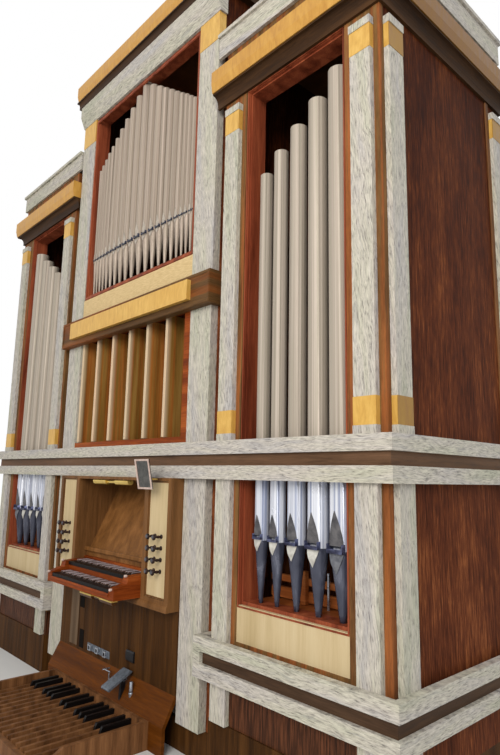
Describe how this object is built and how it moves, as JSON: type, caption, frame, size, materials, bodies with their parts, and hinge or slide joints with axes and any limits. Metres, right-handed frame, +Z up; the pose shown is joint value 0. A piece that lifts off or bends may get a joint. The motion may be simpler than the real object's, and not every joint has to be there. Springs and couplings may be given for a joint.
{
  "type": "pipe organ",
  "caption": "Church pipe organ: marbled and gilt case with two pipe towers, a raised centre flat, swell shutters, and a niche console with manuals, drawknobs, pedals and a mirror.",
  "frame": {"origin": "middle of the footprint box, on the floor", "axes": "+X to the right as the player faces the console, +Y from the front to the back of the case, +Z up"},
  "size_m": [4.516, 2.138, 5.015],
  "materials": {
    "brown_wood": "oiled",
    "dark_wood": "matt",
    "panel_wood": "oiled",
    "marbled_paint": "painted, marbled",
    "gilding": "gilded",
    "red_wood": "varnished",
    "pipe_metal": "planished",
    "cream_wood": "satin",
    "oak": "oiled",
    "ebony": "polished",
    "bone": "polished",
    "brass": "polished",
    "looking_glass": "silvered",
    "grey_metal": "satin"
  },
  "bodies": {
    "case": {"base_plinth": "dark_wood", "tower_fronts": "brown_wood", "side_walls": "panel_wood", "back_wall": "brown_wood", "roof": "brown_wood", "stiles": "marbled_paint", "gilt_blocks": "gilding", "mid_belt": "marbled_paint", "mid_belt_rail": "brown_wood", "lower_belt": "marbled_paint", "lower_belt_rail": "brown_wood", "cornice_soffits": "brown_wood", "gilt_cornices": "gilding", "tower_crowns": "marbled_paint", "centre_posts": "marbled_paint", "centre_rails": "marbled_paint", "flat_lining": "red_wood", "flat_pipes": "pipe_metal", "tower_pipes": "pipe_metal", "tower_linings": "red_wood", "tower_panels": "cream_wood", "beam": "brown_wood", "beam_plate": "gilding", "shutter_frame": "red_wood", "console_frame": "brown_wood", "console_moulding": "brown_wood", "jamb_panels": "cream_wood", "kneeboards": "brown_wood", "pedal_panel": "brown_wood", "music_desk": "brown_wood", "key_desk": "red_wood", "manual_naturals": "ebony", "manual_sharps": "bone", "pedalboard": "brown_wood", "pedal_sharps": "ebony", "drawknobs": "dark_wood", "lamp": "brass", "mirror_arm": "brass", "swell_bracket": "grey_metal"},
    "shutter_1": {"shutter_1": "oak"},
    "shutter_2": {"shutter_2": "oak"},
    "shutter_3": {"shutter_3": "oak"},
    "shutter_4": {"shutter_4": "oak"},
    "shutter_5": {"shutter_5": "oak"},
    "shutter_6": {"shutter_6": "oak"},
    "swell_pedal": {"swell_pedal": "grey_metal"},
    "mirror": {"mirror": "looking_glass"}
  },
  "joints": [
    {"name": "swell_pedal_hinge", "type": "hinge", "parent": "case", "child": "swell_pedal", "pos_m": [0.254, -0.379, 0.288], "axis": [1, 0, 0], "range_deg": [0, 36]},
    {"name": "shutter_1_hinge", "type": "hinge", "parent": "case", "child": "shutter_1", "pos_m": [-0.712, -0.292, 2.19], "axis": [0, 0, 1], "range_deg": [-94, 0]},
    {"name": "shutter_2_hinge", "type": "hinge", "parent": "case", "child": "shutter_2", "pos_m": [-0.477, -0.292, 2.19], "axis": [0, 0, 1], "range_deg": [-94, 0]},
    {"name": "shutter_3_hinge", "type": "hinge", "parent": "case", "child": "shutter_3", "pos_m": [-0.242, -0.292, 2.19], "axis": [0, 0, 1], "range_deg": [-94, 0]},
    {"name": "shutter_4_hinge", "type": "hinge", "parent": "case", "child": "shutter_4", "pos_m": [-0.007, -0.292, 2.19], "axis": [0, 0, 1], "range_deg": [-94, 0]},
    {"name": "shutter_5_hinge", "type": "hinge", "parent": "case", "child": "shutter_5", "pos_m": [0.228, -0.292, 2.19], "axis": [0, 0, 1], "range_deg": [-94, 0]},
    {"name": "shutter_6_hinge", "type": "hinge", "parent": "case", "child": "shutter_6", "pos_m": [0.463, -0.292, 2.19], "axis": [0, 0, 1], "range_deg": [-94, 0]},
    {"name": "mirror_swivel", "type": "hinge", "parent": "case", "child": "mirror", "pos_m": [0.575, -0.48, 1.53], "axis": [0, 0, 1], "range_deg": [-40, 40]}
  ],
  "couplings": [
    {"joint": "shutter_1_hinge", "follows": "swell_pedal_hinge", "ratio": -2.6},
    {"joint": "shutter_2_hinge", "follows": "swell_pedal_hinge", "ratio": -2.6},
    {"joint": "shutter_3_hinge", "follows": "swell_pedal_hinge", "ratio": -2.6},
    {"joint": "shutter_4_hinge", "follows": "swell_pedal_hinge", "ratio": -2.6},
    {"joint": "shutter_5_hinge", "follows": "swell_pedal_hinge", "ratio": -2.6},
    {"joint": "shutter_6_hinge", "follows": "swell_pedal_hinge", "ratio": -2.6}
  ]
}
